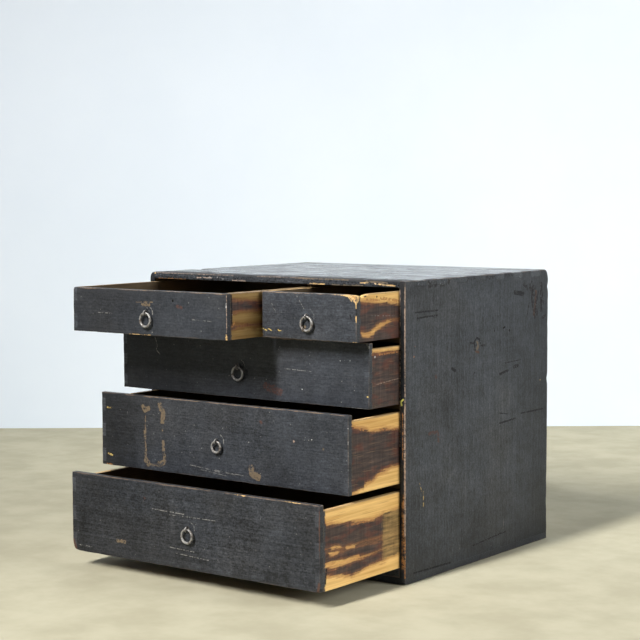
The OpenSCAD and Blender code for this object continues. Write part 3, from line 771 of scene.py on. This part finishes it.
# How dark each front is painted at its left and its right, and between which places along
# the front that changes: its lacquer's own tone, and on drawers 3 and 4 also the painted
# shadow of drawer 1 above; how uneven it is; and how far lacquer runs over the sides behind it.
front_tone_and_shadow = {1: (0.56, 0.71, -150, 0), 2: (1.04, 0.97, 56, 90), 3: (0.44, 0.82, -150, 40),
              4: (0.30, 0.75, -165, -100), 5: (0.43, 0.61, -193, 60)}
front_contrast = {1: 0.85, 2: 1.1, 3: 0.8, 4: 1.2, 5: 1.6}
lacquer_over = {1: 11.0, 2: 7.5, 3: 6.0, 4: 6.5, 5: 10.0}
# Marks on each right side, by the distance behind the front's face and the height.
right_side_marks = {
    1: [("chalk", 1.8, (13, 323)), ("chalk", 1.4, (7, 335)), ("grey", 2.0, (2, 348), (70, 348)),
        ("gold", 2.4, (17, 316), (14, 309)), ("dark", 4.0, (11, 345), (12, 312))],
    2: [("hole", 2.2, (40, 344)), ("hole", 2.0, (58, 348)), ("dark", 6.0, (9, 349), (18, 348)),
        ("bare", 5.0, (2, 349), (5, 347)), ("orange", 2.5, (20, 342), (44, 340)),
        ("orange", 3.5, (48, 342), (83, 337)), ("scratch", 0.8, (30, 323), (76, 320))],
    3: [("grey", 0.8, (14, 243), (61, 246)), ("chalk", 2.4, (12, 275)), ("gold", 2.0, (6, 278)),
        ("orange", 2.0, (20, 277), (58, 277))],
    4: [("gold", 2.5, (12, 199), (30, 193)), ("orange", 2.4, (60, 190), (102, 186))],
    5: [("dark", 3.0, (10, 30), (12, 45)), ("orange", 2.0, (60, 88), (104, 86))],
}


def stained_side(paint, n, front_y, arris):
    """A drawer's outer side: bare cedar, dark stain between its bright bands, and lacquer."""
    paint.lay(*cedar(paint, "y", 0.05))
    # On drawer 1 this darkening is painted shade, for the shade of drawer 2's front.
    paint.colour = paint.shade(paint.colour, band_tone_and_shade[n])
    behind = paint.y - front_y
    streak = paint.noise((6, 34, 2.6), 3.0, 0.65)
    coarse = paint.noise((9, 22, 9), 3.0, 0.6)
    height = paint.vary(paint.z, (streak, 9.0), (coarse, 5.0)) + paint.ragged * 3
    inside = None
    for low, high in bright_bands[n]:
        above = height - paint.curve(behind, low) if low else 99.0
        below = paint.curve(behind, high) - height if high else 99.0
        depth = above & below if low else below
        inside = depth if inside is None else inside | depth
    bright = inside.rise(-0.9, 0.9)
    thin = paint.noise((8, 50, 3.0), 3.0, 0.6)
    red = paint.noise((20, 30, 11), 3.0, 0.6)
    upright = paint.noise((9, 2.4, 40), 2.0, 0.6)
    amber = paint.vary(inside.rise(6.0, 0.0) * 0.8, (coarse, 1.2), (thin, 1.0)).rise(0.1, 0.9)
    paint.mark(bright * amber * 0.7, paint.shade((0.36, 0.155, 0.050), band_tone_and_shade[n]))
    stain = paint.mix(thin.rise(0.36, 0.66), (0.032, 0.024, 0.023), (0.060, 0.040, 0.034))
    stain = paint.mix(red.rise(0.46, 0.66) * 0.6, stain, (0.105, 0.032, 0.019))
    stain = paint.mix(inside.rise(-4.5, 0.0) * paint.vary(0.65, (red, 1.2)), stain,
                      (0.21, 0.088, 0.036))
    stain = paint.shade(stain, paint.vary(1.05, (streak, 0.6), (coarse, 1.0), (upright, 1.2)))
    if n in faded:
        golden = paint.shade((0.30, 0.192, 0.074),
                             paint.vary(0.9, (coarse, 1.2), (thin, 2.6), (upright, 0.5)))
        stain = paint.mix((behind + paint.ragged * 14).rise(*faded[n]) * 0.85, stain, golden)
    paint.mark(1 - bright, stain, 0.0, 0.5)
    rubbed = paint.noise((6, 40, 1.3), 2.0, 0.7).rise(0.62, 0.70)
    paint.mark(rubbed * 0.45 * (1 - bright), (0.25, 0.16, 0.09))
    over = paint.vary(behind, (coarse, 8.0)) + paint.ragged * 7
    paint.lay(*lacquer(paint, "x", arris, 0.15),
              over.rise(lacquer_over[n] + 1.2, lacquer_over[n] - 1.2))


for n in range(1, 6):
    body = f"drawer_{n}"
    front_low, front_high = part_box(f"drawer_{n}_front")
    left_low, left_high = part_box(f"drawer_{n}_left_side")
    right_low, right_high = part_box(f"drawer_{n}_right_side")
    floor_low, floor_high = part_box(f"drawer_{n}_bottom")
    back_low, back_high = part_box(f"drawer_{n}_back")
    places = 3 if n < 3 else 5
    finger_h = (left_high[2] - left_low[2]) / places
    outside_low = front_low
    outside_high = np.array([front_high[0], floor_high[1], front_high[2]])

    def drawer_fingers(x, y0, y1, start):
        """Every second finger place up one corner of the drawer, from start."""
        return [((x, y0, left_low[2] + k * finger_h),
                 (x + side_t, y1, left_low[2] + (k + 1) * finger_h))
                for k in range(start, places, 2)]

    def worn_drawer(points):
        """The drawer's outside: front edges rounded most, the rest only eased."""
        near_front = np.clip(1 - (points[:, 1] - front_low[1]) / 14, 0, 1)
        uneven = 0.25 * ripple(points, 30, 10 + n) + 0.25 * ripple(points, 9, 20 + n)
        radius = 0.35 + near_front * (0.6 + uneven + knocked(points, front_knocks[n]))
        sunk = np.clip(0.08 + 0.04 * ripple(points, 90, 30 + n), 0.02, 0.2)
        worn = wear(points, outside_low, outside_high, all_sides, np.clip(radius, 0.3, 6.0), sunk)
        return dented(worn, front_dents.get(n, ()))

    tongue = (floor_low + (side_t + tongue_in, 0, 0),
              (floor_high[0] - side_t - tongue_in, front_high[1], floor_high[2]))
    front_cuts = [tongue]
    for low, fingered in ((left_low, n != 2), (right_low, n != 1)):
        if fingered:
            front_cuts += drawer_fingers(low[0], front_low[1], front_high[1], 0)
        else:
            front_cuts.append((low, (low[0] + side_t, front_high[1], left_high[2])))
    shift = 20 + n
    paint = Paint(f"lacquered front {n}", shift)
    worn_top = paint.z.rise(front_high[2] - 4, front_high[2] - 1) * 0.85 + 0.15
    paint.lay(*lacquer(paint, "x", paint.arris(outside_low, outside_high), worn_top,
                       contrast=front_contrast[n]))
    # Painted shade and tone: each front's colour is scaled from its left to its right end; on
    # drawers 3 and 4 the dark left part is drawer 1's painted shadow.
    left_tone_and_shadow, right_tone_and_shadow, tone_from, tone_to = front_tone_and_shadow[n]
    tone = paint.x.rise(tone_from, tone_to) * (right_tone_and_shadow - left_tone_and_shadow) + left_tone_and_shadow
    paint.colour = paint.shade(paint.colour, tone)
    eye_x, _, eye_z = sum(part_box(f"drawer_{n}_eye")) / 2
    swing = [(eye_x + scratch_r * math.cos(a), eye_z + scratch_r * math.sin(a))
             for a in np.radians((-12, 14, 40, 66))]
    marks = placed([*front_marks[n], ("scratch", 1.1, *swing)], lambda x, z: (x, front_low[1], z))
    age_marks(paint, marks)
    paint.lay(*cedar(paint, "x", 0.85), paint.y > front_high[1] - 0.3)
    board(f"drawer_{n}_front", body, paint.done(), worn_drawer,
          cuts=front_cuts, step=4.0)

    for which, low, high, fingered in (("left", left_low, left_high, n != 2),
                                       ("right", right_low, right_high, n != 1)):
        start_y = front_high[1] if fingered else low[1]
        solids = [((low[0], start_y, low[2]), (high[0], back_low[1], high[2])),
                  *drawer_fingers(low[0], back_low[1], high[1], 0)]
        if fingered:
            solids += drawer_fingers(low[0], front_low[1], front_high[1], 0)
        paint = Paint(f"drawer {n} {which} side", shift)
        stained_side(paint, n, front_low[1], paint.arris(outside_low, outside_high))
        paint.mark((paint.z - high[2]).rise(-1.6, -0.3) * (paint.y > front_high[1]) * 0.5,
                   (0.30, 0.22, 0.14))
        inward = paint.x > high[0] - 0.3 if which == "left" else paint.x < low[0] + 0.3
        paint.lay(*cedar(paint, "y", 0.95, 0.7), inward * (paint.y > front_high[1]))
        side_marks = [m for m in marks if abs(m[2][0] - high[0]) < corner_reach]
        if which == "right":
            side_marks = placed(right_side_marks[n],
                                lambda u, z: (high[0], front_low[1] + u, z)) + side_marks
        age_marks(paint, side_marks)
        board(f"drawer_{n}_{which}_side", body, paint.done(), worn_drawer,
              solids=solids, step=4.0)

    paint = Paint(f"drawer {n} back", shift)
    paint.lay(*cedar(paint, "x", 0.95, 0.7))
    board(f"drawer_{n}_back", body, paint.done(), worn_drawer,
          solids=[((left_low[0] + side_t, *back_low[1:]), (right_low[0], *back_high[1:])),
                  *drawer_fingers(left_low[0], back_low[1], back_high[1], 1),
                  *drawer_fingers(right_low[0], back_low[1], back_high[1], 1)], step=8.0)
    paint = Paint(f"drawer {n} bottom", shift)
    stained_side(paint, n, front_low[1], paint.arris(outside_low, outside_high))
    paint.lay(*cedar(paint, "x", 0.92, 0.8),
              (paint.x > floor_low[0] + 0.3) * (paint.x < floor_high[0] - 0.3))
    board(f"drawer_{n}_bottom", body, paint.done(), worn_drawer,
          solids=[((floor_low[0], front_high[1], floor_low[2]), floor_high), tongue], step=9.0)
    dress_pegs(f"drawer_{n}_pegs")


# The ring pulls: each a hand-forged iron ring, hung in the eye of a split pin. The pin is one
# wire bent round to an eye; both legs go through the front and are bent out behind it.
def wire(name, path, thickness, closed=False, sides=16):
    """A tube along a path, with a thickness for each of its points."""
    path, thickness = np.array(path, float), np.broadcast_to(thickness, len(path))
    if closed:
        ways = np.roll(path, -1, 0) - np.roll(path, 1, 0)
    else:
        ways = np.gradient(path, axis=0)
    ways /= np.linalg.norm(ways, axis=1, keepdims=True)
    across = np.array((0.31, 0.22, 0.93))
    rings = []
    for point, way, thick in zip(path, ways, thickness):
        across = across - way * (across @ way)
        across /= np.linalg.norm(across)
        other = np.cross(way, across)
        turns = np.linspace(0, 2 * math.pi, sides, endpoint=False)
        rings.append(point + thick / 2 * (np.outer(np.cos(turns), across)
                                          + np.outer(np.sin(turns), other)))
    count = len(path)
    faces = [(i * sides + j, (i + 1) % count * sides + j,
              (i + 1) % count * sides + (j + 1) % sides, i * sides + (j + 1) % sides)
             for i in range(count if closed else count - 1) for j in range(sides)]
    if not closed:
        faces += [tuple(range(sides)), tuple(range(len(rings) * sides - 1,
                                                   (len(rings) - 1) * sides - 1, -1))]
    mesh = bpy.data.meshes.new(name)
    mesh.from_pydata((np.concatenate(rings) / 1000).tolist(), [], [f[::-1] for f in faces])
    mesh.shade_smooth()
    piece = bpy.data.objects.new(name, mesh)
    bpy.context.scene.collection.objects.link(piece)
    return piece


iron_paint = Paint("forged iron")
rust = iron_paint.noise(3.5, 3.0, 0.6)
scale = iron_paint.noise(0.8, 2.0, 0.6)
iron_paint.lay(
    iron_paint.mix(rust.rise(0.46, 0.66) * 0.85, (0.27, 0.26, 0.245), (0.085, 0.060, 0.045)),
    0.46 + rust * 0.3, scale * 0.16 + rust * 0.1)
iron = iron_paint.done(metallic=0.9, gloss=0.5)
ring_wire, pin_wire, eye_hole, ring_drop, leg_gap = 3.2, 1.8, 4.0, 0.1, 0.45
eye_r = (eye_hole + pin_wire) / 2
leg_tip = 0.6
for n in range(1, 6):
    low, high = part_box(f"drawer_{n}_ring")
    middle = (low + high) / 2
    turns = np.linspace(0, 2 * math.pi, 96, endpoint=False)
    hand = np.stack([turns * 0 + n, np.cos(turns) * 9, np.sin(turns) * 9], axis=1)
    # Hammered uneven, and worn thinner at the top, where it hangs in the eye.
    thick = ring_wire - 0.16 - 0.18 * np.cos(turns) + 0.1 * ripple(hand, 7, 70 + n)
    thick = np.minimum(thick, ring_wire - 0.02)
    reach = (high[0] - low[0]) / 2 - ring_wire / 2 - 0.06 + 0.05 * ripple(hand, 14, 50 + n)
    path = middle + np.stack([np.sin(turns) * reach, 0 * turns, np.cos(turns) * reach], axis=1)
    ring = wire(f"drawer_{n}_ring_iron", path, thick, closed=True)
    ring.data.materials.append(iron)
    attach(ring, f"ring_{n}")
    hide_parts(f"drawer_{n}_ring")

    front_low, front_high = part_box(f"drawer_{n}_front")
    eye_at = np.array([middle[0], front_low[1] - eye_r - pin_wire / 2,
                       high[2] - ring_wire / 2 + ring_drop])
    left_tip, right_tip = [corner[0] for corner in part_box(f"drawer_{n}_eye")]
    loop = [eye_at + (0, eye_r * math.cos(a), eye_r * math.sin(a))
            for a in np.radians(np.linspace(20, 340, 36))]
    behind = front_high[1] + pin_wire / 2
    leg = [(0.0, front_low[1] + 0.6), (0.0, behind - 2.4), (0.15, behind - 1.1),
           (0.6, behind - 0.4), (1.5, behind), (3.0, behind)]
    path = [(right_tip, behind, eye_at[2] + leg_gap)]
    path += [(eye_at[0] + x, y, eye_at[2] + leg_gap) for x, y in leg[::-1]]
    path += loop
    path += [(eye_at[0] - x, y, eye_at[2] - leg_gap) for x, y in leg]
    path += [(left_tip, behind, eye_at[2] - leg_gap)]
    thick = np.full(len(path), pin_wire - 0.06)
    thick[[0, -1]] = leg_tip
    eye = wire(f"drawer_{n}_eye_iron", path, thick)
    eye.data.materials.append(iron)
    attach(eye, f"drawer_{n}")
    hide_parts(f"drawer_{n}_eye")


# The studio: a pale floor and a white wall a metre behind the chest, both square to the view.
# The wall shows from its front alone, so that the chest can be seen from behind. Three lamps,
# one over the other, light the fronts; a broad one at the right lights the sides.
camera_at = Vector((1299.11, -1780.08, 469.39)) / 1000
azimuth, pitch, roll = math.radians(37.1638), math.radians(4.528), math.radians(-0.2242)
view_way = Vector((-math.sin(azimuth), math.cos(azimuth), 0))
sideways = Vector((math.cos(azimuth), math.sin(azimuth), 0))
foot = Vector((camera_at.x, camera_at.y, 0))
wall_at, wall_w, wall_h, floor_w = 3.266, 3.5, 2.6, 14.0


def sheet(name, corners, colour_low, colour_high, size, **finish):
    """One flat face of the room, in a matt paint with a faint cloudiness. Its glow, if it has
    one, goes from one colour at the floor to another higher up."""
    mesh = bpy.data.meshes.new(name)
    mesh.from_pydata([tuple(c) for c in corners], [], [(0, 1, 2, 3)])
    piece = bpy.data.objects.new(name, mesh)
    bpy.context.scene.collection.objects.link(piece)
    paint = Paint(name)
    cloud = paint.noise(size, 4.0, 0.6)
    paint.lay(paint.mix(cloud.rise(0.3, 0.7), colour_low, colour_high), 0.85, cloud * 0.2)
    if "glow" in finish:
        finish["glow"] = paint.mix(paint.z.rise(-200, 700), *finish["glow"])
    mesh.materials.append(paint.done(gloss=0.5, **finish))


sheet("pale_floor", [foot + (sideways * across + view_way * away) * floor_w
                     for across, away in ((-1, -1), (1, -1), (1, 1), (-1, 1))],
      (0.37, 0.34, 0.235), (0.45, 0.42, 0.30), (90, 90, 90))
far = foot + view_way * wall_at
up = Vector((0, 0, wall_h))
sheet("white_wall", [far - sideways * wall_w, far + sideways * wall_w,
                     far + sideways * wall_w + up, far - sideways * wall_w + up],
      (0.60, 0.655, 0.70), (0.64, 0.69, 0.73), (500, 500, 500),
      glow=((0.10, 0.12, 0.15), (0.22, 0.24, 0.28)), one_sided=True)


def lamp(name, at, aim, size, power, colour, spread=180):
    """A soft rectangular lamp, in metres and watts, turned to a point."""
    light = bpy.data.lights.new(name, "AREA")
    light.shape = "RECTANGLE"
    light.size, light.size_y = size
    light.energy, light.color, light.spread = power, colour, math.radians(spread)
    lamp_object = bpy.data.objects.new(name, light)
    lamp_object.location = at
    lamp_object.rotation_euler = (Vector(aim) - Vector(at)).to_track_quat("-Z", "Y").to_euler()
    bpy.context.scene.collection.objects.link(lamp_object)


lit, lamp_away = Vector((0.08, -0.2, 0.2)), 6.1
for height in (33, 41, 49):
    rise = math.radians(height)
    way = Vector((-0.06 * math.cos(rise), -math.cos(rise), math.sin(rise)))
    lamp(f"front lamp {height}", lit + way * lamp_away, lit, (0.5, 0.85), 9.2,
         (1.0, 0.99, 0.98), spread=36)
lamp("side lamp", (4.2, 0.75, 2.0), (0.1, -0.1, 0.15), (2.0, 2.0), 160.0, (0.98, 0.99, 1.0))
world = bpy.data.worlds.new("pale room")
world.use_nodes = True
bpy.context.scene.world = world
sky = Nodes(world.node_tree)
seen = sky.node("ShaderNodeLightPath", {}, {}, ("Is Camera Ray", "Is Glossy Ray",
                                                "Is Transmission Ray"))
pale = sky.node("ShaderNodeBackground", {}, {"Color": (0.82, 0.88, 0.93), "Strength": 1.0})
dim = sky.node("ShaderNodeBackground", {}, {"Color": (0.88, 0.94, 1.0), "Strength": 0.05})
shown = sky.node("ShaderNodeMixShader", {}, {0: seen[0] | seen[1] | seen[2], 1: dim, 2: pale})
sky.node("ShaderNodeOutputWorld", {}, {0: shown})


# The camera stands where the photograph was taken from, a little right of the front corner
# and only 110 mm above the top board.
focal_px, photo_px, sensor_w = 1677.56, 640, 36.0
camera = bpy.data.cameras.new("camera")
camera.sensor_width = sensor_w
camera.lens = focal_px / photo_px * sensor_w
camera.clip_start, camera.clip_end = 0.05, 50.0
camera_object = bpy.data.objects.new("camera", camera)
back_way = Vector((math.sin(azimuth) * math.cos(pitch), -math.cos(azimuth) * math.cos(pitch),
                   math.sin(pitch)))
up_way = back_way.cross(sideways)
right_rolled = sideways * math.cos(roll) + up_way * math.sin(roll)
up_rolled = up_way * math.cos(roll) - sideways * math.sin(roll)
turn = Matrix((right_rolled, up_rolled, back_way)).transposed()
camera_object.matrix_world = Matrix.Translation(camera_at) @ turn.to_4x4()
bpy.context.scene.collection.objects.link(camera_object)
bpy.context.scene.camera = camera_object
bpy.context.scene.view_settings.view_transform = "Standard"
